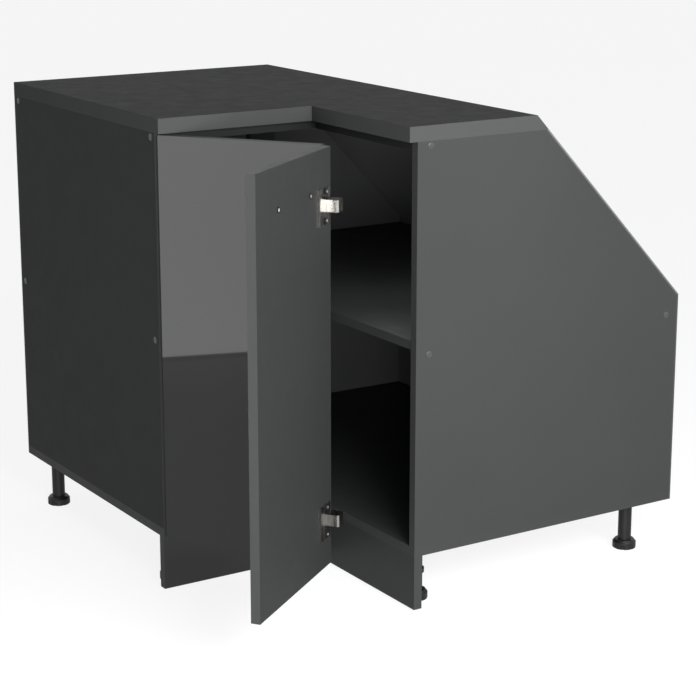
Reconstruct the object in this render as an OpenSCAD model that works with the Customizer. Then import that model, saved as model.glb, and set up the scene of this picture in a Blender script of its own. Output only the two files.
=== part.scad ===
// Corner base cabinet with a sloping back and a pair of hinged leaves.
// Origin: the corner of the room at floor level. X runs back along the straight wall,
// Y runs back along the wall with the slope, and Z is up. Millimetres.

/* [Carcass] */
// Length along the straight wall
wall_len = 898; // [860:1:1000]
// Length along the wall with the slope
slope_len = 911; // [860:1:1000]
// Depth of the left side panel, from the straight wall
left_depth = 591; // [540:1:620]
// Depth of the right side panel, from the wall with the slope
right_depth = 580; // [540:1:620]
// Height of the carcass without its feet
carcass_h = 720; // [680:1:760]
// Thickness of the boards
board = 16; // [15:1:19]
// Thickness of the back sheets
sheet = 3; // [3:0.5:5]
// Width of the flat rails under the worktop
rail_w = 60; // [50:5:100]
// Width of the upright behind the straight back rail
upright_w = 60; // [40:5:100]
// Height of the shelf's upper face above the floor
shelf_top = 481; // [300:1:485]
// Set-back of the shelf from the front edges
shelf_setback = 2; // [1:1:40]

/* [Slope] */
// Distance of the slope's upper edge from its wall
slope_top_run = 334; // [200:1:380]
// Height of the slope's lower edge above the floor
slope_low_h = 494; // [490:1:700]

/* [Worktop] */
// Thickness of the worktop
worktop_t = 26; // [22:1:40]
// Overhang of the worktop over the left panel's front edge
nose_left = 14; // [0:1:30]
// Overhang of the worktop over the right panel's front edge
nose_right = 16; // [0:1:30]

/* [Leaves] */
// Thickness of the leaves
leaf_t = 16; // [16:1:22]
// Gap between a closed leaf and the front edges
leaf_gap = 2; // [2:0.5:4]
// Gap at the outer ends of the closed leaves
end_gap = 2; // [2:0.5:4]
// Gap beside the outer corner line where the leaves meet
corner_gap = 2; // [2:0.1:3]
// Gap above and below the leaves
height_gap = 2; // [1:0.5:5]
// Angle that the pair stands open
open_angle = 54; // [0:1:60]

/* [Hinges] */
// Height of the lower hinges above the leaf's lower edge
hinge_low = 82; // [60:1:160]
// Depth of the upper hinges below the leaf's upper edge
hinge_high = 95; // [60:1:160]
// Radius of the hinge cups
cup_r = 17.5; // [17.5:0.5:18]
// Depth of the hinge cups
cup_depth = 13.5; // [13.5:0.1:14]
// Distance of a cup's centre from the edge of its leaf
cup_inset = 20; // [20:0.5:24]
// Radius of the hinge pins
pin_r = 0.8; // [0.7:0.05:0.9]
// Spacing of the cup screws
cup_screws = 48; // [45:1:52]

/* [Handle] */
// Spacing of the handle's screws
handle_pitch = 128; // [96:32:192]
// Length of the handle's bar
handle_len = 148; // [140:2:220]
// Depth of the handle below the leaf's upper edge
handle_drop = 68.5; // [40:0.5:120]
// Clear depth behind the handle's bar
handle_reach = 22; // [18:1:40]
// Radius of the handle's bar
handle_r = 5; // [4:0.5:8]

/* [Feet] */
// Height of the feet
foot_h = 100; // [80:1:150]
// Radius of a foot's leg
leg_r = 12.5; // [10:0.5:16]
// Radius of a foot's base
base_r = 22; // [18:0.5:30]
// Height of a foot's base
base_h = 17; // [14:1:30]
// Gap under the plinths
plinth_gap = 3; // [1:1:10]
// Height of the clip rings above the floor
clip_h = 49; // [40:1:72]

/* [Fastenings] */
// Radius of the cover caps
cap_r = 6; // [5:0.5:8]
// Height of the cover caps
cap_h = 1.4; // [1:0.1:2]
// Radius of the long screws
screw_r = 2.5; // [2:0.1:3]
// Radius of the shelf supports
support_r = 7; // [5:0.5:8]

/* [Hidden] */
$fn = 48;

// Clearances: a running pin, a screw in its hole, and a cut that goes past a face
run = 0.05;
snug = 0.05;
cut = 1;

// Faces of the carcass
left_x = -wall_len;
right_y = -slope_len;
front_x = -right_depth;
front_y = -left_depth;
inner_left = left_x + board;
inner_right = right_y + board;
floor_top = foot_h + board;
top_z = foot_h + carcass_h;
worktop_z = top_z + worktop_t;
rail_z = top_z - board;
shelf_z = shelf_top - board;

// The slope runs from the worktop's upper back edge to the wall
slope_rise = worktop_z - slope_low_h;
slope_hyp = sqrt(slope_rise * slope_rise + slope_top_run * slope_top_run);
function slope_x(z) = -(z - slope_low_h) * slope_top_run / slope_rise;
function slope_z(x) = slope_low_h - x * slope_rise / slope_top_run;
sheet_dx = sheet * slope_hyp / slope_rise;
sheet_dz = sheet * slope_hyp / slope_top_run;
mitre_z = slope_z(-sheet) - sheet_dz;
shelf_back = min(-sheet, slope_x(shelf_top) - sheet_dx);

// Closed leaves
left_leaf_in = front_y - leaf_gap;
left_leaf_out = left_leaf_in - leaf_t;
right_leaf_in = front_x - leaf_gap;
right_leaf_out = right_leaf_in - leaf_t;
left_leaf_x0 = left_x + end_gap;
left_leaf_x1 = right_leaf_out - corner_gap;
right_leaf_y0 = right_y + end_gap;
right_leaf_y1 = left_leaf_out - corner_gap;
leaf_z0 = foot_h + height_gap;
leaf_z1 = top_z - height_gap;
hinge_zs = [leaf_z0 + hinge_low, leaf_z1 - hinge_high];

// Swing pin: inside the cup, near the leaf's outer end
swing_in = 6;
swing_depth = 10.5;
swing_x = left_leaf_x0 + swing_in;
swing_y = left_leaf_in - swing_depth;
strap_t = 1.8;
strap_half = 5;
strap_reach = 12.3;
eye_r = 1.6;
cup_wall = 0.6;
lug_gap = 0.3;
lug_t = 2.6;
wing_t = 1.2;
wing_w = 18;
wing_half = 31;
cup_screw_r = 2;
cup_screw_len = 10;
head_r = 4;
head_h = 1.6;
swing_plate_t = 3;
swing_plate_half = 22;
swing_plate_len = 40;
swing_plate_set = 16;
swing_plate_pitch = 32;
arm_len = 46;
arm_t = 6;
arm_half = 7;

// Fold pin: on the corner line, where the planes of the outer faces cross
fold_x = right_leaf_out;
fold_y = left_leaf_out;
fold_eye_r = 1.9;
fold_strap_t = 1;
fold_arm_half = 10;
ear_half = 4;
ear_gap = 0.3;
fold_arm_rise = 20;
fold_arm_over = 4;
fold_link_w = 5;
fold_link_in = 9;
fold_plate_t = 2.5;
fold_plate_len = 42;
fold_plate_half = 20;
fold_plate_pitch = 28;
frame_w = 46;
frame_half = 30.5;
frame_t = 1.5;
frame_set = 7;
lip_w = 3;
slot_gap = 0.3;
lip_h = 3.5;

// Fastenings: places of the long screws and of the shelf supports
rail_screw_z = rail_z + board / 2;
support_z = shelf_z - support_r;
left_front_set = 14;
left_back_set = 20;
right_front_set = 26.5;
right_back_set = 25;
left_row = [front_y + left_front_set, -left_back_set];
right_row = [front_x + right_front_set, shelf_back - right_back_set];
rail_screw_len = 50;
screw_head_r = 5;
screw_head_h = 3;
support_len = 12;
support_pin = 9;

// Upright behind the back rail
upright_x1 = slope_x(rail_z) - sheet_dx - 30;
upright_x0 = upright_x1 - upright_w;

// Feet
foot_side = 40;
foot_wall = 50;
foot_far = 61;
foot_right = 55;
feet = [[left_x + foot_side, -foot_wall], [left_x + foot_side, front_y + foot_wall],
        [-foot_far, -foot_wall], [front_x + foot_side, front_y + foot_wall],
        [-foot_far, right_y + foot_right], [front_x + foot_side, right_y + foot_right]];
spigot_r = 5;
spigot_h = 12;
clip_ring_h = 8;
clip_wall = 3;
base_ribs = 8;
rib_r = 3;

// Handle
handle_y = min((right_leaf_y0 + right_leaf_y1) / 2,
               right_leaf_y1 - frame_set - frame_w - head_r - 4 - handle_pitch / 2);
handle_z = leaf_z1 - handle_drop;
post_r = 4.5;
handle_screw_r = 2;
handle_screw_in = 8;

body_col = [0.2, 0.21, 0.21];
gloss_col = [0.16, 0.17, 0.17];
steel_col = [0.75, 0.74, 0.7];
black_col = [0.06, 0.06, 0.06];

// A block between two corners
module slab(x0, x1, y0, y1, z0, z1) {
    translate([x0, y0, z0])
        cube([x1 - x0, y1 - y0, z1 - z0]);
}

// A sheet whose outline lies in X and Z, between two places along Y
module standing(outline, y0, y1) {
    translate([0, y1, 0])
        rotate([90, 0, 0])
            linear_extrude(height = y1 - y0)
                polygon(outline);
}

// An L-shaped board that follows both legs of the cabinet, back to a place along X
module corner_board(x0, y0, fx, fy, z0, t, back) {
    translate([0, 0, z0])
        linear_extrude(height = t)
            polygon([[x0, -sheet], [back, -sheet], [back, y0], [fx, y0], [fx, fy], [x0, fy]]);
}

// A round bar along Z, X or Y from its lower end
module bar_z(r, h) { cylinder(r = r, h = h); }
module bar_x(r, h) { rotate([0, 90, 0]) cylinder(r = r, h = h); }
module bar_y(r, h) { rotate([-90, 0, 0]) cylinder(r = r, h = h); }

// Turns closed pieces of the leaf pair to the angle at which they stand open
module opened() {
    translate([swing_x, swing_y, 0])
        rotate([0, 0, -open_angle])
            translate([-swing_x, -swing_y, 0])
                children();
}

// L-shaped worktop, with its back edge cut along the slope
module worktop() {
    color(body_col) {
        slab(left_x, front_x, front_y - nose_left, 0, top_z, worktop_z);
        standing([[front_x - nose_right, top_z], [slope_x(top_z), top_z],
                  [slope_x(worktop_z), worktop_z], [front_x - nose_right, worktop_z]],
                 right_y, 0);
    }
}

module bottom_board() {
    color(body_col)
        difference() {
            corner_board(left_x, right_y, front_x, front_y, foot_h, board, -sheet);
            for (p = feet)
                translate([p[0], p[1], foot_h - cut])
                    bar_z(spigot_r + snug, spigot_h + cut);
        }
}

// Holes for a long screw and its head, into a panel's outer face at the origin, along X
module screw_hole(len) {
    translate([-cut, 0, 0])
        bar_x(screw_r + snug, len + cut);
    translate([-cut, 0, 0])
        bar_x(screw_head_r + snug, screw_head_h + cut);
}

module left_panel() {
    color(body_col)
        difference() {
            slab(left_x, inner_left, front_y, -sheet, floor_top, top_z);
            for (y = left_row) {
                translate([left_x, y, rail_screw_z])
                    screw_hole(board + cut);
                translate([inner_left - support_pin - cut, y, support_z])
                    bar_x(screw_r + snug, support_pin + 2 * cut);
            }
            swing_plate_places()
                translate([-cup_screw_len, 0, 0])
                    bar_x(cup_screw_r + snug, cup_screw_len + cut);
        }
}

module right_panel() {
    color(body_col)
        difference() {
            standing([[front_x, floor_top], [-sheet, floor_top], [-sheet, mitre_z],
                      [slope_x(top_z) - sheet_dx, top_z], [front_x, top_z]],
                     right_y, inner_right);
            translate([right_row[0], right_y, rail_screw_z])
                rotate([0, 0, 90])
                    screw_hole(board + cut);
            for (x = right_row)
                translate([x, inner_right - support_pin - cut, support_z])
                    bar_y(screw_r + snug, support_pin + 2 * cut);
        }
}

// L-shaped shelf, notched round the upright
module shelf() {
    color(body_col)
        difference() {
            corner_board(inner_left, inner_right, front_x + shelf_setback, front_y + shelf_setback,
                         shelf_z, board, shelf_back);
            slab(upright_x0 - run, upright_x1 + run, -sheet - board - run, 0,
                 shelf_z - cut, shelf_top + cut);
        }
}

module straight_back() {
    color(body_col)
        standing([[left_x, foot_h], [0, foot_h], [0, slope_low_h], [slope_x(top_z), top_z],
                  [left_x, top_z]], -sheet, 0);
}

module low_back() {
    color(body_col)
        standing([[-sheet, foot_h], [0, foot_h], [0, slope_low_h], [-sheet, mitre_z]],
                 right_y, -sheet);
}

module slope_back() {
    color(body_col)
        standing([[-sheet, mitre_z], [0, slope_low_h], [slope_x(top_z), top_z],
                  [slope_x(top_z) - sheet_dx, top_z]], right_y, -sheet);
}

module front_rail_left() {
    color(body_col)
        difference() {
            slab(inner_left, front_x + rail_w, front_y, front_y + rail_w, rail_z, top_z);
            translate([left_x, left_row[0], rail_screw_z])
                bar_x(screw_r + snug, rail_screw_len + cut);
        }
}

module front_rail_right() {
    color(body_col)
        difference() {
            slab(front_x, front_x + rail_w, inner_right, front_y, rail_z, top_z);
            translate([right_row[0], right_y, rail_screw_z])
                bar_y(screw_r + snug, rail_screw_len + cut);
        }
}

module back_rail() {
    color(body_col)
        difference() {
            slab(inner_left, upright_x1, -sheet - rail_w, -sheet, rail_z, top_z);
            translate([left_x, left_row[1], rail_screw_z])
                bar_x(screw_r + snug, rail_screw_len + cut);
        }
}

// Stands on the bottom board and carries the free end of the back rail
module back_upright() {
    color(body_col)
        slab(upright_x0, upright_x1, -sheet - board, -sheet, floor_top, rail_z);
}

module plinth_left() {
    color(body_col)
        slab(left_x, front_x + board, front_y, front_y + board, plinth_gap, foot_h);
}

module plinth_right() {
    color(body_col)
        slab(front_x, front_x + board, right_y, front_y, plinth_gap, foot_h);
}

module foot_legs() {
    color(black_col)
        for (p = feet)
            translate([p[0], p[1], base_h]) {
                bar_z(leg_r, foot_h - base_h);
                bar_z(spigot_r, foot_h - base_h + spigot_h);
            }
}

// Turned bases with a chamfered shoulder and grip flutes
module foot_bases() {
    color(black_col)
        for (p = feet)
            translate([p[0], p[1], 0])
                difference() {
                    rotate_extrude()
                        polygon([[0, 0], [base_r - 1, 0], [base_r, 1], [base_r, base_h - 5],
                                 [base_r - 4, base_h], [0, base_h]]);
                    for (i = [0 : base_ribs - 1])
                        rotate([0, 0, i * 360 / base_ribs])
                            translate([base_r + 1, 0, -cut])
                                bar_z(rib_r, base_h / 2 + cut);
                }
}

// A ring on a leg with an arm to the back of the plinth
module plinth_clip(reach) {
    difference() {
        union() {
            bar_z(leg_r + clip_wall, clip_ring_h);
            translate([-clip_ring_h / 2, -reach, 0])
                cube([clip_ring_h, reach, clip_ring_h]);
        }
        translate([0, 0, -cut])
            bar_z(leg_r + run, clip_ring_h + 2 * cut);
    }
}

module plinth_clips() {
    color(black_col) {
        translate([feet[1][0], feet[1][1], clip_h])
            plinth_clip(foot_wall - board);
        translate([feet[5][0], feet[5][1], clip_h])
            rotate([0, 0, -90])
                plinth_clip(foot_side - board);
    }
}

module shelf_support() {
    bar_x(support_r, support_len);
    translate([-support_pin, 0, 0])
        bar_x(screw_r, support_pin);
}

module shelf_supports() {
    color(steel_col) {
        for (y = left_row)
            translate([inner_left, y, support_z])
                shelf_support();
        for (x = right_row)
            translate([x, inner_right, support_z])
                rotate([0, 0, 90])
                    shelf_support();
    }
}

// A slightly domed cap on an outer face, standing out along -X
module cover_cap() {
    rotate([0, -90, 0])
        rotate_extrude()
            polygon([[0, 0], [cap_r, 0], [cap_r, cap_h * 0.4], [cap_r * 0.7, cap_h * 0.85],
                     [cap_r * 0.3, cap_h], [0, cap_h]]);
}

module cover_caps() {
    color(body_col) {
        for (y = left_row)
            for (z = [rail_screw_z, support_z])
                translate([left_x, y, z])
                    cover_cap();
        translate([right_row[0], right_y, rail_screw_z])
            rotate([0, 0, 90])
                cover_cap();
        for (x = right_row)
            translate([x, right_y, support_z])
                rotate([0, 0, 90])
                    cover_cap();
    }
}

module rail_screw() {
    bar_x(screw_r, rail_screw_len);
    bar_x(screw_head_r, screw_head_h);
}

module rail_screws() {
    color(steel_col) {
        for (y = left_row)
            translate([left_x, y, rail_screw_z])
                rail_screw();
        translate([right_row[0], right_y, rail_screw_z])
            rotate([0, 0, 90])
                rail_screw();
    }
}

// Places of the swing plates' screws, on the left panel's inner face
module swing_plate_places() {
    for (z = hinge_zs)
        for (s = [-1, 1])
            translate([inner_left, front_y + swing_plate_set + swing_plate_len / 2,
                       z + s * swing_plate_pitch / 2])
                children();
}

module swing_hinge_plates() {
    color(steel_col)
        difference() {
            for (z = hinge_zs)
                translate([inner_left, front_y + swing_plate_set, z - swing_plate_half])
                    cube([swing_plate_t, swing_plate_len, 2 * swing_plate_half]);
            swing_plate_places()
                translate([-cut, 0, 0])
                    bar_x(cup_screw_r + snug, swing_plate_t + 2 * cut);
        }
}

module swing_plate_screws() {
    color(steel_col)
        swing_plate_places() {
            translate([-cup_screw_len + cut, 0, 0])
                bar_x(cup_screw_r, cup_screw_len + swing_plate_t - cut);
            translate([swing_plate_t, 0, 0])
                bar_x(head_r, head_h);
        }
}

// The strap leaves the arm, enters the cup and turns back to the pin's eye.
// Its outline is drawn from the pin: X away from the leaf's end, Y into the cabinet.
strap_in = strap_t / 2;
arm_y0 = swing_depth + leaf_gap + 8;
arm_x0 = board + swing_plate_t - end_gap - swing_in;

module swing_hinge_arms() {
    color(steel_col)
        for (z = hinge_zs)
            translate([swing_x, swing_y, z])
                difference() {
                    union() {
                        translate([0, 0, -strap_half])
                            linear_extrude(height = 2 * strap_half)
                                polygon([[0, -strap_in], [strap_reach + strap_in, -strap_in],
                                         [strap_reach + strap_in, arm_y0 - 3],
                                         [arm_x0 + arm_t, arm_y0 + cut],
                                         [arm_x0, arm_y0 + cut],
                                         [strap_reach - strap_in, arm_y0 - 3],
                                         [strap_reach - strap_in, strap_in], [0, strap_in]]);
                        translate([0, 0, -strap_half])
                            bar_z(eye_r, 2 * strap_half);
                        slab(arm_x0, arm_x0 + arm_t, arm_y0, arm_y0 + arm_len,
                             -arm_half, arm_half);
                    }
                    translate([0, 0, -strap_half - cut])
                        bar_z(pin_r + run, 2 * (strap_half + cut));
                }
}

lug_z = strap_half + lug_gap;
pin_half = lug_z + lug_t;

module swing_hinge_pins() {
    color(steel_col)
        opened()
            for (z = hinge_zs)
                translate([swing_x, swing_y, z - pin_half])
                    bar_z(pin_r, 2 * pin_half);
}

// A cup with its floor away from +Y, its rim flush with the face at the origin
module cup_shell() {
    rotate([90, 0, 0])
        difference() {
            bar_z(cup_r, cup_depth);
            translate([0, 0, -cut])
                bar_z(cup_r - cup_wall, cup_depth - cup_wall + cut);
        }
}

// Screw wings of a swing cup, on the leaf's inner face
module swing_wings() {
    difference() {
        slab(-wing_w / 2, wing_w / 2, 0, wing_t, -wing_half, wing_half);
        translate([0, -cut, 0])
            bar_y(cup_r - cup_wall, wing_t + 2 * cut);
        for (s = [-1, 1])
            translate([0, -cut, s * cup_screws / 2])
                bar_y(cup_screw_r + snug, wing_t + 2 * cut);
    }
}

lug_w = 5;
lug_h = 5;

// Cups with two lugs that hold the ends of the swing pin
module swing_hinge_cups() {
    color(steel_col)
        opened()
            for (z = hinge_zs)
                difference() {
                    union() {
                        translate([left_leaf_x0 + cup_inset, left_leaf_in, z]) {
                            cup_shell();
                            swing_wings();
                        }
                        intersection() {
                            translate([left_leaf_x0 + cup_inset, left_leaf_in, z])
                                rotate([90, 0, 0])
                                    bar_z(cup_r - cup_wall / 2, cup_depth - cup_wall / 2);
                            for (s = [-1, 1])
                                translate([swing_x - lug_w, left_leaf_in - cup_depth,
                                           z + s * (lug_z + lug_t / 2) - lug_t / 2])
                                    cube([lug_w + 2.5, lug_h, lug_t]);
                        }
                    }
                    translate([swing_x, swing_y, z - pin_half - run])
                        bar_z(pin_r + run, 2 * (pin_half + run));
                }
}

// Places of the swing cups' screws, on the left leaf's inner face
module swing_cup_places() {
    for (z = hinge_zs)
        for (s = [-1, 1])
            translate([left_leaf_x0 + cup_inset, left_leaf_in, z + s * cup_screws / 2])
                children();
}

module swing_cup_screws() {
    color(steel_col)
        opened()
            swing_cup_places() {
                translate([0, -cup_screw_len, 0])
                    bar_y(cup_screw_r, cup_screw_len + wing_t);
                translate([0, wing_t, 0])
                    bar_y(head_r, head_h);
            }
}

module left_leaf() {
    color(gloss_col)
        opened()
            difference() {
                slab(left_leaf_x0, left_leaf_x1, left_leaf_out, left_leaf_in, leaf_z0, leaf_z1);
                for (z = hinge_zs)
                    translate([left_leaf_x0 + cup_inset, left_leaf_in + cut, z])
                        rotate([90, 0, 0])
                            bar_z(cup_r + snug, cup_depth + snug + cut);
                swing_cup_places()
                    translate([0, -cup_screw_len - cut, 0])
                        bar_y(cup_screw_r + snug, cup_screw_len + 2 * cut);
                fold_plate_places()
                    translate([0, -cup_screw_len - cut, 0])
                        bar_y(cup_screw_r + snug, cup_screw_len + 2 * cut);
            }
}

// Places of the fold plates' screws, on the left leaf's inner face
module fold_plate_places() {
    for (z = hinge_zs)
        for (s = [-1, 1])
            translate([fold_x - fold_plate_len / 2, left_leaf_in, z + s * fold_plate_pitch / 2])
                children();
}

// A plate on the left leaf's inner face, with a strap round its end to a knuckle at the pin
module fold_hinge_plates() {
    face = left_leaf_in - fold_y;
    color(steel_col)
        opened()
            difference() {
                for (z = hinge_zs)
                    translate([fold_x, fold_y, z]) {
                        slab(-fold_plate_len, fold_strap_t - corner_gap, face,
                             face + fold_plate_t, -fold_plate_half, fold_plate_half);
                        slab(-corner_gap, fold_strap_t - corner_gap, 0, face + 1,
                             -ear_half, ear_half);
                        translate([0, 0, -ear_half])
                            bar_z(fold_eye_r, 2 * ear_half);
                    }
                for (z = hinge_zs)
                    translate([fold_x, fold_y, z - ear_half - cut])
                        bar_z(pin_r + run, 2 * (ear_half + cut));
                fold_plate_places()
                    translate([0, -cut, 0])
                        bar_y(cup_screw_r + snug, fold_plate_t + 2 * cut);
            }
}

module fold_plate_screws() {
    color(steel_col)
        opened()
            fold_plate_places() {
                translate([0, -cup_screw_len, 0])
                    bar_y(cup_screw_r, cup_screw_len + fold_plate_t);
                translate([0, fold_plate_t, 0])
                    bar_y(head_r, head_h);
            }
}

module fold_hinge_pins() {
    color(steel_col)
        opened()
            for (z = hinge_zs)
                translate([fold_x, fold_y, z - fold_arm_half])
                    bar_z(pin_r, 2 * fold_arm_half);
}

// Middle of the fold cups, on the right leaf's inner face near the corner line
fold_cup_y = right_leaf_y1 - cup_inset - 1;

// An arm that leaves the cup, passes the leaf's end and runs back along it to two knuckles.
// Its outline is drawn from the pin: X out of the leaf's inner face, Y towards the corner.
module fold_hinge_arms() {
    face = right_leaf_in - fold_x + frame_t;
    top = face + fold_arm_rise;
    back = fold_cup_y - fold_y + 1;
    edge = fold_strap_t - corner_gap;
    slot = fold_eye_r + 0.5;
    color(steel_col)
        opened()
            for (z = hinge_zs)
                translate([fold_x, fold_y, z])
                    difference() {
                        union() {
                            translate([0, 0, -fold_arm_half])
                                linear_extrude(height = 2 * fold_arm_half)
                                    polygon([[0, -corner_gap], [face, -corner_gap],
                                             [face, back + fold_link_w],
                                             [face - fold_link_in, back + fold_link_w],
                                             [face - fold_link_in, back], [top - 3, back],
                                             [top, back + 3], [top, edge],
                                             [top - 5, fold_arm_over], [face + 1, fold_arm_over],
                                             [face - 1, edge], [0, edge]]);
                            translate([0, 0, -fold_arm_half])
                                bar_z(fold_eye_r, 2 * fold_arm_half);
                        }
                        translate([0, 0, -fold_arm_half - cut])
                            bar_z(pin_r + run, 2 * (fold_arm_half + cut));
                        slab(-slot, slot, -slot, slot, -ear_half - ear_gap, ear_half + ear_gap);
                    }
}

// Cups in the right leaf, each in a screwed plate that frames it
module fold_hinge_cups() {
    frame_x1 = cup_inset + 1 - frame_set;
    color(steel_col)
        opened()
            for (z = hinge_zs)
                translate([right_leaf_in, fold_cup_y, z])
                    rotate([0, 0, -90]) {
                        difference() {
                            union() {
                                cup_shell();
                                slab(-frame_x1, frame_w - frame_x1, 0, frame_t,
                                     -frame_half, frame_half);
                                slab(frame_w - frame_x1 - lip_w, frame_w - frame_x1, 0, lip_h,
                                     -frame_half, frame_half);
                            }
                            translate([0, -cup_depth + cup_wall, 0])
                                bar_y(cup_r - cup_wall, cup_depth - cup_wall);
                            slab(-fold_link_w - 1 - slot_gap, slot_gap - 1, -cut, frame_t + cut,
                                 -fold_arm_half - slot_gap, fold_arm_half + slot_gap);
                            for (s = [-1, 1])
                                translate([0, -cut, s * cup_screws / 2])
                                    bar_y(cup_screw_r + snug, frame_t + 2 * cut);
                        }
                    }
}

// Places of the fold cups' screws, on the right leaf's inner face
module fold_cup_places() {
    for (z = hinge_zs)
        for (s = [-1, 1])
            translate([right_leaf_in, fold_cup_y, z + s * cup_screws / 2])
                children();
}

module fold_cup_screws() {
    color(steel_col)
        opened()
            fold_cup_places() {
                translate([-cup_screw_len, 0, 0])
                    bar_x(cup_screw_r, cup_screw_len + frame_t);
                translate([frame_t, 0, 0])
                    bar_x(head_r, head_h);
            }
}

module handle_places() {
    for (s = [-1, 1])
        translate([right_leaf_out, handle_y + s * handle_pitch / 2, handle_z])
            children();
}

module right_leaf() {
    color(gloss_col)
        opened()
            difference() {
                slab(right_leaf_out, right_leaf_in, right_leaf_y0, right_leaf_y1,
                     leaf_z0, leaf_z1);
                for (z = hinge_zs)
                    translate([right_leaf_in - cup_depth - snug, fold_cup_y, z])
                        bar_x(cup_r + snug, cup_depth + snug + cut);
                fold_cup_places()
                    translate([-cup_screw_len - cut, 0, 0])
                        bar_x(cup_screw_r + snug, cup_screw_len + 2 * cut);
                handle_places()
                    translate([-cut, 0, 0])
                        bar_x(handle_screw_r + snug, leaf_t + 2 * cut);
            }
}

// Round bar on two posts, on the right leaf's outer face
module handle() {
    color(steel_col)
        opened()
            difference() {
                union() {
                    handle_places()
                        translate([-handle_reach - handle_r, 0, 0])
                            bar_x(post_r, handle_reach + handle_r);
                    translate([right_leaf_out - handle_reach - handle_r,
                               handle_y - handle_len / 2, handle_z])
                        bar_y(handle_r, handle_len);
                }
                handle_places()
                    translate([-handle_screw_in - cut, 0, 0])
                        bar_x(handle_screw_r + snug, handle_screw_in + 2 * cut);
            }
}

module handle_screws() {
    color(steel_col)
        opened()
            handle_places() {
                translate([-handle_screw_in, 0, 0])
                    bar_x(handle_screw_r, handle_screw_in + leaf_t);
                translate([leaf_t, 0, 0])
                    bar_x(head_r, head_h);
            }
}

worktop();
bottom_board();
left_panel();
right_panel();
shelf();
straight_back();
low_back();
slope_back();
front_rail_left();
front_rail_right();
back_rail();
back_upright();
plinth_left();
plinth_right();
foot_legs();
foot_bases();
plinth_clips();
shelf_supports();
cover_caps();
rail_screws();
swing_hinge_plates();
swing_hinge_arms();
swing_plate_screws();
swing_hinge_pins();
swing_hinge_cups();
swing_cup_screws();
left_leaf();
fold_hinge_plates();
fold_plate_screws();
fold_hinge_pins();
fold_hinge_arms();
fold_hinge_cups();
fold_cup_screws();
right_leaf();
handle();
handle_screws();
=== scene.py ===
# %% [markdown]
# A corner base cabinet is drawn here over its imported CAD frame. The boards, leaves, hinges and
# feet come from the frame with their true shapes. This script gives them surfaces and softened
# edges, puts detailed screws in place of the plain ones, and adds a camera and studio light.

# %% Load the frame
import math
import bmesh
import bpy
from mathutils import Matrix, Vector


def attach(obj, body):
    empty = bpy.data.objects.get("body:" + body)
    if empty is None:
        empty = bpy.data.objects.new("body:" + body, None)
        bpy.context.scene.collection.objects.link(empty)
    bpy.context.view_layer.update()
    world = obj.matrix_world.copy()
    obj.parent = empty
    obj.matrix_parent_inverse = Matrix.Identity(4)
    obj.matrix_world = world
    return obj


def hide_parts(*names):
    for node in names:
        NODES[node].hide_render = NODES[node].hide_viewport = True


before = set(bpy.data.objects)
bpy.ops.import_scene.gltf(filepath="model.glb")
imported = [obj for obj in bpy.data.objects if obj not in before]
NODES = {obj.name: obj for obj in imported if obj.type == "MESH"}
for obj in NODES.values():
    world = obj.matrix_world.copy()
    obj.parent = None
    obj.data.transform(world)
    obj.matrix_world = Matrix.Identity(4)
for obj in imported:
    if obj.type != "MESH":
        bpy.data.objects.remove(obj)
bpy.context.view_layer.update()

# %% [markdown]
# The camera comes first, because everything else is judged through it. It stands about four
# metres off at the height of a person's chest and looks down at the cabinet by 14 degrees. A
# level camera with a strong lens shift would keep upright edges parallel, but it would push
# the cabinet out of every other view, so the shift stays small.

# %% Camera
CAMERA_PLACE = (-2.3942, -3.5473, 1.3044)
LOOK_DOWN = 0.24386
HEADING = -0.56703
scene = bpy.context.scene
cam_data = bpy.data.cameras.new("main_camera")
cam_data.sensor_width = 36.0
cam_data.sensor_fit = "HORIZONTAL"
cam_data.lens = 101.98
cam_data.shift_y = -0.03
cam_data.clip_end = 60.0
camera = bpy.data.objects.new("main_camera", cam_data)
scene.collection.objects.link(camera)
camera.location = CAMERA_PLACE
camera.rotation_euler = (math.pi / 2 - LOOK_DOWN, 0.0, HEADING)
scene.camera = camera
print("camera at", tuple(round(v, 3) for v in camera.location), "lens", round(cam_data.lens, 2))

# %% [markdown]
# Film, lacquer, plating and moulded plastic all vary a little over their surface. An image
# could carry that, but nodes stay sharp at any distance. So a few helpers build node
# materials: the first two start one and do plain sums in it.

# %% Helpers: a new material, and sums
def new_material(name):
    mat = bpy.data.materials.new(name)
    mat.use_nodes = True
    mat.node_tree.nodes.clear()
    return mat, mat.node_tree.nodes, mat.node_tree.links


def plug(links, socket, value):
    """Sets a socket to a number, or links it to another node's output."""
    if isinstance(value, (int, float)):
        socket.default_value = value
    else:
        links.new(value, socket)


def math_node(nodes, links, kind, *values):
    node = nodes.new("ShaderNodeMath")
    node.operation = kind
    for place, value in enumerate(values):
        plug(links, node.inputs[place], value)
    return node.outputs[0]


# %% [markdown]
# Noise gives clouds, grain and scuffs. It is read at the object's own coordinates, in metres,
# so a scale of 1000 makes specks of about a millimetre and the pattern rides with the piece.
# A range node turns the noise into the small change that is wanted.

# %% Helpers: noise and ranges
def noise_node(nodes, links, vector, scale, detail=3.0, rough=0.5):
    node = nodes.new("ShaderNodeTexNoise")
    node.inputs["Scale"].default_value = scale
    node.inputs["Detail"].default_value = detail
    node.inputs["Roughness"].default_value = rough
    links.new(vector, node.inputs["Vector"])
    return node.outputs["Fac"]


def map_node(nodes, links, value, low, high, to_low, to_high):
    node = nodes.new("ShaderNodeMapRange")
    for key, number in (("From Min", low), ("From Max", high), ("To Min", to_low), ("To Max", to_high)):
        node.inputs[key].default_value = number
    links.new(value, node.inputs["Value"])
    return node.outputs["Result"]


# %% [markdown]
# Two finishes meet on one board, as on a leaf that is glossy outside and matte inside, so
# colours and numbers are mixed by a mask. A tone is a plain tuple of red, green and blue.

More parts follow.
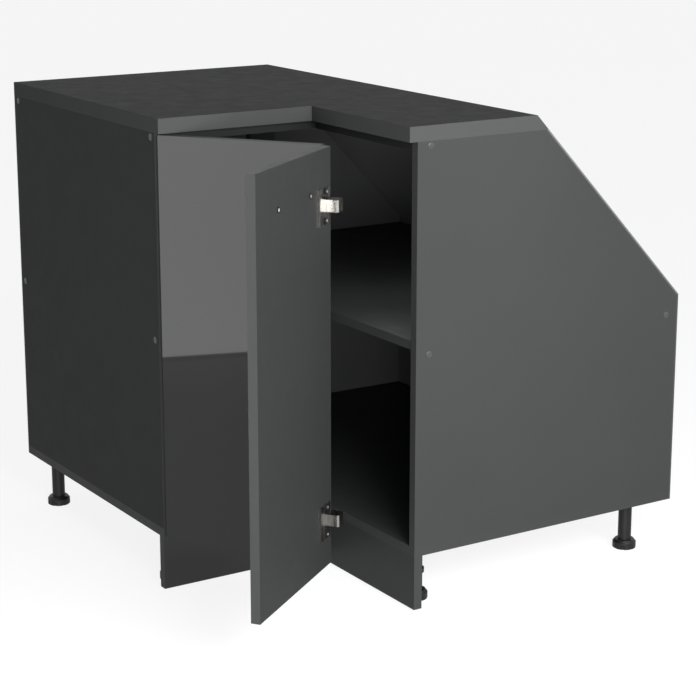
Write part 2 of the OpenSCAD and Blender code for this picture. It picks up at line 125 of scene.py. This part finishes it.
# %% Helpers: mixing
def mix_color(nodes, links, factor, a, b):
    node = nodes.new("ShaderNodeMix")
    node.data_type = "RGBA"
    links.new(factor, node.inputs["Factor"])
    for socket, value in ((node.inputs[6], a), (node.inputs[7], b)):
        if isinstance(value, tuple):
            socket.default_value = (*value, 1.0)
        else:
            links.new(value, socket)
    return node.outputs[2]


def mix_value(nodes, links, factor, a, b):
    node = nodes.new("ShaderNodeMix")
    node.data_type = "FLOAT"
    links.new(factor, node.inputs["Factor"])
    plug(links, node.inputs[2], a)
    plug(links, node.inputs[3], b)
    return node.outputs[0]


def scaled(tone, times):
    return tuple(v * times for v in tone)


# %% [markdown]
# A board's faces and its edge band are one solid in the frame. Separate pieces could carry
# the band, but the direction that a face looks in is enough to tell them apart. The other
# helper stretches the noise for brush marks and fibres.

# %% Helpers: faces and stretched noise
def facing(nodes, links, coords, direction, both=True):
    """1 on faces whose own normal lies along a direction, 0 on the others."""
    dot = nodes.new("ShaderNodeVectorMath")
    dot.operation = "DOT_PRODUCT"
    links.new(coords.outputs["Normal"], dot.inputs[0])
    dot.inputs[1].default_value = direction
    value = dot.outputs["Value"]
    if both:
        value = math_node(nodes, links, "ABSOLUTE", value)
    return map_node(nodes, links, value, 0.6, 0.8, 0.0, 1.0)


def stretched(nodes, links, coords, scale):
    node = nodes.new("ShaderNodeMapping")
    node.inputs["Scale"].default_value = scale
    links.new(coords.outputs["Object"], node.inputs["Vector"])
    return node.outputs["Vector"]


# %% [markdown]
# Every material ends the same way: one shader with a colour, a roughness and a fine relief.
# Numbers that are the same all over are set on the shader's own sockets.

# %% Helpers: the end of a material
def finish_material(nodes, links, color, rough, relief, strength, depth, **constants):
    shader = nodes.new("ShaderNodeBsdfPrincipled")
    for key, value in constants.items():
        shader.inputs[key.replace("_", " ")].default_value = value
    links.new(color, shader.inputs["Base Color"])
    links.new(rough, shader.inputs["Roughness"])
    bump = nodes.new("ShaderNodeBump")
    bump.inputs["Strength"].default_value = strength
    bump.inputs["Distance"].default_value = depth
    links.new(relief, bump.inputs["Height"])
    links.new(bump.outputs["Normal"], shader.inputs["Normal"])
    out = nodes.new("ShaderNodeOutputMaterial")
    links.new(shader.outputs["BSDF"], out.inputs["Surface"])
    return shader


# %% [markdown]
# Graphite board is chipboard under a printed film. The film has a very fine pearl grain, and
# the glued band round the edges is plain and a touch lighter. The colour comes first: slow
# clouds across the board, pearl flecks of a millimetre, and the band where a face looks
# sideways.

# %% Board colour
GRAPHITE = (0.035, 0.0365, 0.036)
BAND = (0.036, 0.0375, 0.037)
TOP_TONE = (0.0235, 0.024, 0.024)
TOP_BAND = (0.05, 0.051, 0.051)
GLOSS = (0.004, 0.0041, 0.0041)
CLOUDS, PEARL, GRAIN, SCUFFS = 3.0, 900.0, 1800.0, 26.0


def film_color(nodes, links, coords, tone, band, face_dir):
    here = coords.outputs["Object"]
    cloud = noise_node(nodes, links, here, CLOUDS, 2.0)
    pearl = noise_node(nodes, links, here, PEARL, 2.0, 0.7)
    face = mix_color(nodes, links, cloud, scaled(tone, 0.9), scaled(tone, 1.1))
    fleck = map_node(nodes, links, pearl, 0.58, 0.8, 0.0, 0.22)
    face = mix_color(nodes, links, fleck, face, scaled(tone, 2.2))
    on_face = facing(nodes, links, coords, face_dir)
    return mix_color(nodes, links, on_face, band, face)


# %% [markdown]
# One recipe serves the carcass, the worktop and the leaves. The film is matte with a fine
# relief. Where a glossy face is asked for, a nearly black ground lies under a clear coat,
# which is how lacquered fronts are made and what gives them their deep mirror.

# %% Board recipe
def board_material(name, tone, band, face_dir, rough=0.5, sheen=0.05, gloss_dir=None):
    mat, nodes, links = new_material(name)
    coords = nodes.new("ShaderNodeTexCoord")
    here = coords.outputs["Object"]
    grain = noise_node(nodes, links, here, GRAIN, 3.0, 0.6)
    scuff = noise_node(nodes, links, here, SCUFFS, 6.0, 0.65)
    color = film_color(nodes, links, coords, tone, band, face_dir)
    rough_var = map_node(nodes, links, scuff, 0.3, 0.7, rough - 0.04, rough + 0.05)
    if gloss_dir is not None:
        glossy = facing(nodes, links, coords, gloss_dir, both=False)
        color = mix_color(nodes, links, glossy, color, GLOSS)
        shine = map_node(nodes, links, scuff, 0.3, 0.7, 0.035, 0.06)
        rough_var = mix_value(nodes, links, glossy, rough_var, shine)
        grain = mix_value(nodes, links, glossy, grain, 0.5)
    shader = finish_material(nodes, links, color, rough_var, grain, 0.08, 0.0002,
                             Specular_IOR_Level=sheen)
    if gloss_dir is not None:
        links.new(glossy, shader.inputs["Coat Weight"])
        shader.inputs["Coat Roughness"].default_value = 0.02
        shader.inputs["Coat IOR"].default_value = 1.42
    return mat


# %% [markdown]
# A carried-over node takes its material in its object's slots, so its mesh stays untouched.

# %% Giving a material to nodes
def give(names, mat):
    for name in names:
        obj = NODES[name]
        if not obj.material_slots:
            obj.data.materials.append(mat)
        for place in obj.material_slots:
            place.link = "OBJECT"
            place.material = mat
    print(mat.name, "on", ", ".join(names))


# %% [markdown]
# The carcass boards differ in the way they lie. The shelf's colour is painted darker as painted
# shade inside the cabinet, the rails under the worktop are painted near black as painted shadow
# of its nose, the left panel is painted darker as painted shade on the side turned from the
# lights, and the worktop has a bolder front edge.

# %% Carcass boards and worktop
LEVEL, SIDEWAYS, FRONTAL = (0, 0, 1), (1, 0, 0), (0, 1, 0)
give(["bottom_board"], board_material("graphite_level", GRAPHITE, BAND, LEVEL))
# The shelf's tone is scaled to 0.8 as painted shade inside the cabinet.
give(["shelf"], board_material("graphite_shelf_painted_shade", scaled(GRAPHITE, 0.8), BAND, LEVEL))
# The rails' tone and band are scaled to 0.4 as painted shadow under the worktop's nose.
give(["front_rail_left", "front_rail_right", "back_rail"],
     board_material("graphite_rail_painted_shadow", scaled(GRAPHITE, 0.4), scaled(BAND, 0.4), LEVEL))
# The left panel's tone is scaled to 0.72 as painted shade on the side turned from the lights.
give(["left_panel"],
     board_material("graphite_side_painted_shade", scaled(GRAPHITE, 0.72), BAND, SIDEWAYS, sheen=0.02))
give(["right_panel", "back_upright"], board_material("graphite_front", GRAPHITE, BAND, FRONTAL))
give(["worktop"], board_material("graphite_top", TOP_TONE, TOP_BAND, LEVEL, sheen=0.005))

# %% [markdown]
# The leaves stand 54 degrees open in the photograph, so their outer faces look along turned
# directions. These are worked out from the closed leaves: the left one looks forward, and the
# right one looks to the left.

# %% Directions of the open leaves
SWING = math.radians(54.0)
swing_turn = Matrix.Rotation(-SWING, 3, "Z")
A_OUT = swing_turn @ Vector((0, -1, 0))
B_OUT = swing_turn @ Vector((-1, 0, 0))
print("left leaf looks along", tuple(round(v, 3) for v in A_OUT),
      "right leaf along", tuple(round(v, 3) for v in B_OUT))

# %% [markdown]
# The leaves are lacquered on the outside and filmed inside. The left plinth shows the same
# gloss as the leaf above it, and the right plinth shows its matte film.

# %% Leaves and plinths
give(["left_leaf"], board_material("gloss_leaf_left", GRAPHITE, BAND, tuple(A_OUT),
                                   gloss_dir=tuple(A_OUT)))
# The right leaf's face tone is scaled to 0.64 as painted shade, and its edge band to 1.25 as a painted
# highlight.
give(["right_leaf"], board_material("gloss_leaf_right_painted_shade_and_highlight", scaled(GRAPHITE, 0.64), scaled(BAND, 1.25),
                                    tuple(B_OUT), gloss_dir=tuple(B_OUT)))
give(["plinth_left"], board_material("gloss_plinth_left", GRAPHITE, BAND, FRONTAL,
                                     gloss_dir=(0, -1, 0)))
give(["plinth_right"], board_material("matte_plinth_right", scaled(GRAPHITE, 0.8), BAND, SIDEWAYS,
                                      rough=0.4))

# %% [markdown]
# The thin back sheets are fibreboard, filmed in the same dark tone. A pressed weave shows on
# them at a close look, so long fibres are drawn by stretched noise. The sloping sheet's colour
# is painted a step paler, as painted light that stands for the light it catches from the opening.

# %% Back sheets
def sheet_material(name, low, high):
    mat, nodes, links = new_material(name)
    coords = nodes.new("ShaderNodeTexCoord")
    cloud = noise_node(nodes, links, coords.outputs["Object"], 5.0, 3.0)
    fibre = noise_node(nodes, links, stretched(nodes, links, coords, (400, 60, 60)), 4.0, 5.0, 0.6)
    strand = map_node(nodes, links, fibre, 0.5, 0.8, 0.0, 0.3)
    color = mix_color(nodes, links, cloud, low, high)
    color = mix_color(nodes, links, strand, color, (0.07, 0.066, 0.06))
    rough = map_node(nodes, links, fibre, 0.3, 0.7, 0.55, 0.72)
    finish_material(nodes, links, color, rough, fibre, 0.2, 0.0003, Specular_IOR_Level=0.35)
    return mat


give(["straight_back", "low_back"],
     sheet_material("fibre_sheet", (0.035, 0.036, 0.036), (0.045, 0.046, 0.045)))
# The sloping sheet is painted paler than the other sheets as painted light.
give(["slope_back"],
     sheet_material("slope_sheet_painted_light", (0.08, 0.082, 0.081), (0.096, 0.098, 0.096)))

# %% [markdown]
# The hinges are pressed steel with nickel plating, the handle is a brushed bar, and the
# screws are plated too. Metal is a mirror that is broken up by fine marks, so the brush noise
# drives both the roughness and the relief, and a faint stain dulls the plating in patches.

# %% Metals
def metal_material(name, tone, rough, along):
    mat, nodes, links = new_material(name)
    coords = nodes.new("ShaderNodeTexCoord")
    brush = noise_node(nodes, links, stretched(nodes, links, coords, along), 30.0, 4.0, 0.7)
    stain = noise_node(nodes, links, coords.outputs["Object"], 60.0, 4.0, 0.6)
    color = mix_color(nodes, links, stain, scaled(tone, 0.86), tone)
    rough_var = map_node(nodes, links, brush, 0.3, 0.7, rough - 0.06, rough + 0.1)
    finish_material(nodes, links, color, rough_var, brush, 0.12, 0.0001, Metallic=1.0)
    return mat


screw_metal = metal_material("screw_nickel", (0.55, 0.53, 0.5), 0.32, (4, 4, 4))
give([n for n in NODES if "hinge" in n] + ["shelf_supports"],
     metal_material("nickel_plate", (0.3, 0.29, 0.275), 0.26, (6, 6, 1)))
give(["handle"], metal_material("brushed_handle", (0.6, 0.6, 0.6), 0.3, (1, 1, 60)))
give([n for n in NODES if "screws" in n], screw_metal)

# %% [markdown]
# Feet and clips are black moulded plastic with a spark-eroded skin, and the caps are moulded
# in the board's grey. The skin is fine noise in the relief, and dust lightens it in patches.

# %% Plastics
def plastic_material(name, tone, rough):
    mat, nodes, links = new_material(name)
    here = nodes.new("ShaderNodeTexCoord").outputs["Object"]
    texture = noise_node(nodes, links, here, 1400.0, 3.0, 0.6)
    dust = noise_node(nodes, links, here, 40.0, 5.0, 0.7)
    dusty = map_node(nodes, links, dust, 0.45, 0.8, 0.0, 0.5)
    color = mix_color(nodes, links, dusty, tone, scaled(tone, 1.9))
    rough_var = map_node(nodes, links, dust, 0.3, 0.7, rough - 0.05, rough + 0.08)
    finish_material(nodes, links, color, rough_var, texture, 0.25, 0.0002, Specular_IOR_Level=0.25)
    return mat


black = plastic_material("black_moulding", (0.004, 0.004, 0.004), 0.5)
give(["foot_legs", "foot_bases", "plinth_clips"], black)
give(["cover_caps"], plastic_material("cap_moulding", (0.036, 0.0375, 0.037), 0.35))
bare = [n for n, o in NODES.items() if not o.material_slots or not o.material_slots[0].material]
print("nodes without a material of their own:", bare)

# %% [markdown]
# Real board edges and pressed parts are never knife sharp. A narrow bevel catches the light
# along each edge and opens a fine dark line where two boards meet. Its width follows the
# part: a millimetre on the boards, half of that on rails and hinges.

# %% Softened edges
BEVELS = {
    0.0012: ["worktop"],
    0.0010: ["left_leaf", "right_leaf", "left_panel", "right_panel", "bottom_board", "shelf",
             "plinth_left", "plinth_right"],
    0.0008: ["handle"],
    0.0006: ["fold_hinge_arms"],
    0.0005: ["front_rail_left", "front_rail_right", "back_rail", "back_upright", "plinth_clips"],
    0.0004: ["swing_hinge_arms", "swing_hinge_plates", "foot_bases"],
}
for width, names in BEVELS.items():
    for name in names:
        soft = NODES[name].modifiers.new("soft_edges", "BEVEL")
        soft.width = width
        soft.segments = 2
        soft.limit_method = "ANGLE"
        soft.angle_limit = math.radians(40)
        soft.harden_normals = False
print("softened:", sum(len(names) for names in BEVELS.values()))


# %% [markdown]
# The small screws and the rings round them are turned parts that sit on a flat face. All of
# them share the same ending: the mesh is closed up, shaded smooth, given its metal or plastic,
# and told which body it rides on.

# %% Helpers: pieces that stand on a face
def face_axes(out):
    """The two directions along a face that looks along out."""
    up = Vector((0, 0, 1))
    return out.cross(up).normalized(), up


def add_piece(name, bm, mat, body):
    bmesh.ops.recalc_face_normals(bm, faces=bm.faces)
    mesh = bpy.data.meshes.new(name)
    bm.to_mesh(mesh)
    bm.free()
    for poly in mesh.polygons:
        poly.use_smooth = True
    mesh.materials.append(mat)
    obj = bpy.data.objects.new(name, mesh)
    scene.collection.objects.link(obj)
    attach(obj, body)
    return obj


# %% [markdown]
# Each small screw has a flat dome with a pressed cross. A subtraction could cut the cross, but
# it leaves ragged faces at this size. So the dome's own height is lowered where the cross runs,
# deepest in the middle.

# %% Shape of a screw's head
HEAD_R, HEAD_H, SHANK_R = 0.004, 0.0016, 0.002
HEAD_RINGS, HEAD_STEPS = 14, 64


def head_rise(r, angle):
    rise = HEAD_H * math.sqrt(max(0.0, 1 - (r / HEAD_R) ** 3.2))
    across, reach = sorted((abs(r * math.cos(angle)), abs(r * math.sin(angle))))
    if across < HEAD_R * 0.14 and reach < HEAD_R * 0.56:
        rise -= HEAD_H * 0.55 * (1 - reach / (HEAD_R * 0.75))
    return max(rise, 0.0)


def bridge(bm, one, two):
    """Faces between two rings of as many points."""
    for k in range(len(one)):
        m = (k + 1) % len(one)
        bm.faces.new((one[k], two[k], two[m], one[m]))


# %% [markdown]
# The head is built ring by ring from its middle. Under it a plain shank goes into the board,
# and no two crosses stand at the same angle, as on a real one that was driven by hand.

# %% Screws
def add_head(bm, base, out, side, up, twist, shank):
    rows = []
    for i in range(HEAD_RINGS + 1):
        r = HEAD_R * i / HEAD_RINGS
        row = []
        for k in range(HEAD_STEPS):
            angle = 2 * math.pi * k / HEAD_STEPS
            u, v = r * math.cos(angle + twist), r * math.sin(angle + twist)
            row.append(bm.verts.new(base + side * u + up * v + out * head_rise(r, angle)))
        rows.append(row)
    for inner, outer in zip(rows, rows[1:]):
        bridge(bm, inner, outer)
    neck = [bm.verts.new(base + (v.co - base) * (SHANK_R / HEAD_R)) for v in rows[-1]]
    tip = [bm.verts.new(v.co - out * shank) for v in neck]
    bridge(bm, rows[-1], neck)
    bridge(bm, neck, tip)
    bm.faces.new(tip)


def screw_heads(name, node, places, out, body, shank):
    bm = bmesh.new()
    out = Vector(out).normalized()
    side, up = face_axes(out)
    for n, place in enumerate(places):
        add_head(bm, Vector(place), out, side, up, 0.35 + 0.7 * n, shank)
    bmesh.ops.remove_doubles(bm, verts=bm.verts, dist=1e-6)
    obj = add_piece(name, bm, screw_metal, body)
    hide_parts(node)
    return obj


# %% [markdown]
# The screws' places are known with the leaves closed, in millimetres, where every leaf lies
# along a wall. Turning those places about the side hinges' pin brings them to where the open
# leaves hold them.

# %% Places of the screws
PIN = Vector((-0.890, -0.6035, 0.0))
HINGE_Z = (184.0, 723.0)
A_INNER, B_INNER = -593, -582
SCREW_SIDES = (-1, 1)


def opened(x, y, z):
    """The rest place of a point given where it is with the leaves closed, in millimetres."""
    return PIN + swing_turn @ (Vector((x, y, z)) / 1000 - PIN)


def at_hinges(x, y, half_pitch):
    return [opened(x, y, z + s * half_pitch) for z in HINGE_Z for s in SCREW_SIDES]


cup_spots = at_hinges(B_INNER + 1.5, -632, 24)
wing_spots = at_hinges(-876, A_INNER + 1.2, 24)
plate_spots = at_hinges(-619, A_INNER + 2.5, 14)
handle_spots = [opened(B_INNER, -760 + s * 64, 749.5) for s in SCREW_SIDES]
side_spots = [Vector((-0.879, -0.555, (z + s * 16) / 1000)) for z in HINGE_Z for s in SCREW_SIDES]
print("screws on the leaves:", len(cup_spots + wing_spots + plate_spots + handle_spots))

# %% [markdown]
# Two screws hold each cup and each plate, and two hold the handle. The drawn ones stand where
# the CAD ones are, so the lowest corner of each set is printed beside the frame's.

# %% Screws in place
HEADS = {
    "fold_cup_screw_heads": ("fold_cup_screws", cup_spots, -B_OUT, "right_door", 0.0115),
    "swing_cup_screw_heads": ("swing_cup_screws", wing_spots, -A_OUT, "left_door", 0.0112),
    "fold_plate_screw_heads": ("fold_plate_screws", plate_spots, -A_OUT, "left_door", 0.0125),
    "handle_screw_heads": ("handle_screws", handle_spots, -B_OUT, "right_door", 0.024),
    "swing_plate_screw_heads": ("swing_plate_screws", side_spots, (1, 0, 0), "cabinet", 0.012),
}
for piece, (node, places, out, body, shank) in HEADS.items():
    obj = screw_heads(piece, node, places, out, body, shank)


# %% [markdown]
# A dark ring shows round each screw on the right leaf: it is painted shadow of the screw head,
# drawn as a raised black ring. It is turned from a profile of radii and heights and is open in
# the middle, so that the head shows.

# %% Painted shadows round the screws
SHADOW_RING = [(0.0030, 0.0), (0.0030, 0.0014), (0.0036, 0.0017), (0.0046, 0.0015), (0.0052, 0.0)]
COLLAR_STEPS = 56


def painted_screw_shadows(name, places, out):
    bm = bmesh.new()
    side, up = face_axes(out)
    turns = [2 * math.pi * k / COLLAR_STEPS for k in range(COLLAR_STEPS)]
    for place in places:
        rows = [[bm.verts.new(place + out * height + side * (radius * math.cos(turn))
                              + up * (radius * math.sin(turn))) for turn in turns]
                for radius, height in SHADOW_RING]
        for one, two in zip(rows, rows[1:] + rows[:1]):
            bridge(bm, one, two)
    add_piece(name, bm, black, "right_door")


# Black rings as painted shadow round the handle and cup screws.
painted_screw_shadows("handle_screw_painted_shadow", handle_spots, -B_OUT)
painted_screw_shadows("fold_cup_screw_painted_shadow", cup_spots, -B_OUT)
print("collars:", len(handle_spots) + len(cup_spots))


# %% [markdown]
# The floor is a plain pale studio floor. What the camera, a mirror or glass sees of it is
# mostly a white of its own, so that it stays pale, and the rest takes the cabinet's soft
# shadow. To all other light it is a darker floor, which keeps its glow off the lower boards.

# %% Studio floor
def seen_directly(nodes, links):
    path = nodes.new("ShaderNodeLightPath")
    seen = math_node(nodes, links, "MAXIMUM", path.outputs["Is Camera Ray"], path.outputs["Is Glossy Ray"])
    return math_node(nodes, links, "MAXIMUM", seen, path.outputs["Is Transmission Ray"])


bpy.ops.mesh.primitive_plane_add(size=40.0, location=(0, 0, -0.0005))
floor = bpy.context.object
floor.name = "studio_floor"
mat, nodes, links = new_material("studio_floor_pale")
speck = noise_node(nodes, links, nodes.new("ShaderNodeTexCoord").outputs["Object"], 2.0, 2.0)
seen = seen_directly(nodes, links)
pale = mix_color(nodes, links, speck, (0.86, 0.86, 0.86), (0.88, 0.88, 0.88))
color = mix_color(nodes, links, seen, (0.4, 0.4, 0.4), pale)
shader = finish_material(nodes, links, color, map_node(nodes, links, speck, 0, 1, 0.8, 0.85),
                         speck, 0.01, 0.001, Specular_IOR_Level=0.1)

# %% [markdown]
# The white of its own is mixed over the floor's finish.

# %% Studio floor, its own white
white = nodes.new("ShaderNodeEmission")
white.inputs["Strength"].default_value = 1.07
blend = nodes.new("ShaderNodeMixShader")
links.new(math_node(nodes, links, "MULTIPLY", seen, 0.8), blend.inputs["Fac"])
links.new(shader.outputs["BSDF"], blend.inputs[1])
links.new(white.outputs["Emission"], blend.inputs[2])
links.new(blend.outputs["Shader"],
          [n for n in nodes if n.type == "OUTPUT_MATERIAL"][0].inputs["Surface"])
floor.data.materials.append(mat)
print("floor:", tuple(round(v, 1) for v in floor.dimensions))


# %% [markdown]
# A low soft light stands at the left, where the glossy leaf mirrors it down to mid height. A
# near one in front makes the right panel brightest at the top, and a high one and a low one
# fill the rest. A small bulb lifts the inside, which the leaves keep dark.

# %% Studio lights
def soft_light(name, place, aim, width, height, power):
    data = bpy.data.lights.new(name, "AREA")
    data.shape = "RECTANGLE"
    data.size = width
    data.size_y = height
    data.energy = power
    obj = bpy.data.objects.new(name, data)
    scene.collection.objects.link(obj)
    obj.location = place
    obj.rotation_euler = (Vector(aim) - Vector(place)).to_track_quat("-Z", "Y").to_euler()
    obj.visible_camera = False


soft_light("left_soft", (-2.48, -1.2, 0.31), (0.0, -1.2, 0.31), 0.95, 0.6, 5.2)
soft_light("front_soft", (-0.7, -2.7, 1.25), (-0.4, -0.9, 0.8), 1.4, 0.8, 66)
soft_light("high_soft", (-1.2, -4.3, 2.6), (-0.4, -0.9, 0.8), 2.0, 1.6, 60)
soft_light("low_soft", (-2.25, -3.6, 0.45), (-0.3, -0.5, 0.6), 0.8, 0.7, 85)
fill_data = bpy.data.lights.new("compartment_fill", "POINT")
fill_data.energy = 0.95
fill_data.shadow_soft_size = 0.12
fill = bpy.data.objects.new("compartment_fill", fill_data)
fill.location = (-0.42, -0.62, 0.66)
fill.visible_camera = False
scene.collection.objects.link(fill)

# %% [markdown]
# The room round the stage is white to look at and dim as a light. It is a little brighter
# behind the cabinet, so that the backs show from behind without a lamp that would draw an edge
# across the floor.

# %% Studio room
world = bpy.data.worlds.new("studio_world")
scene.world = world
world.use_nodes = True
nodes, links = world.node_tree.nodes, world.node_tree.links
back = nodes["Background"]
back.inputs["Color"].default_value = (1.0, 1.0, 1.0, 1.0)
toward_back = nodes.new("ShaderNodeVectorMath")
toward_back.operation = "DOT_PRODUCT"
links.new(nodes.new("ShaderNodeTexCoord").outputs["Generated"], toward_back.inputs[0])
toward_back.inputs[1].default_value = (0.7, 0.7, 0.0)
glow = map_node(nodes, links, toward_back.outputs["Value"], 0.0, 1.0, 0.2, 0.55)
links.new(mix_value(nodes, links, seen_directly(nodes, links), glow, 1.3), back.inputs["Strength"])
scene.view_settings.view_transform = "Standard"
print("world:", world.name, "view:", scene.view_settings.view_transform)
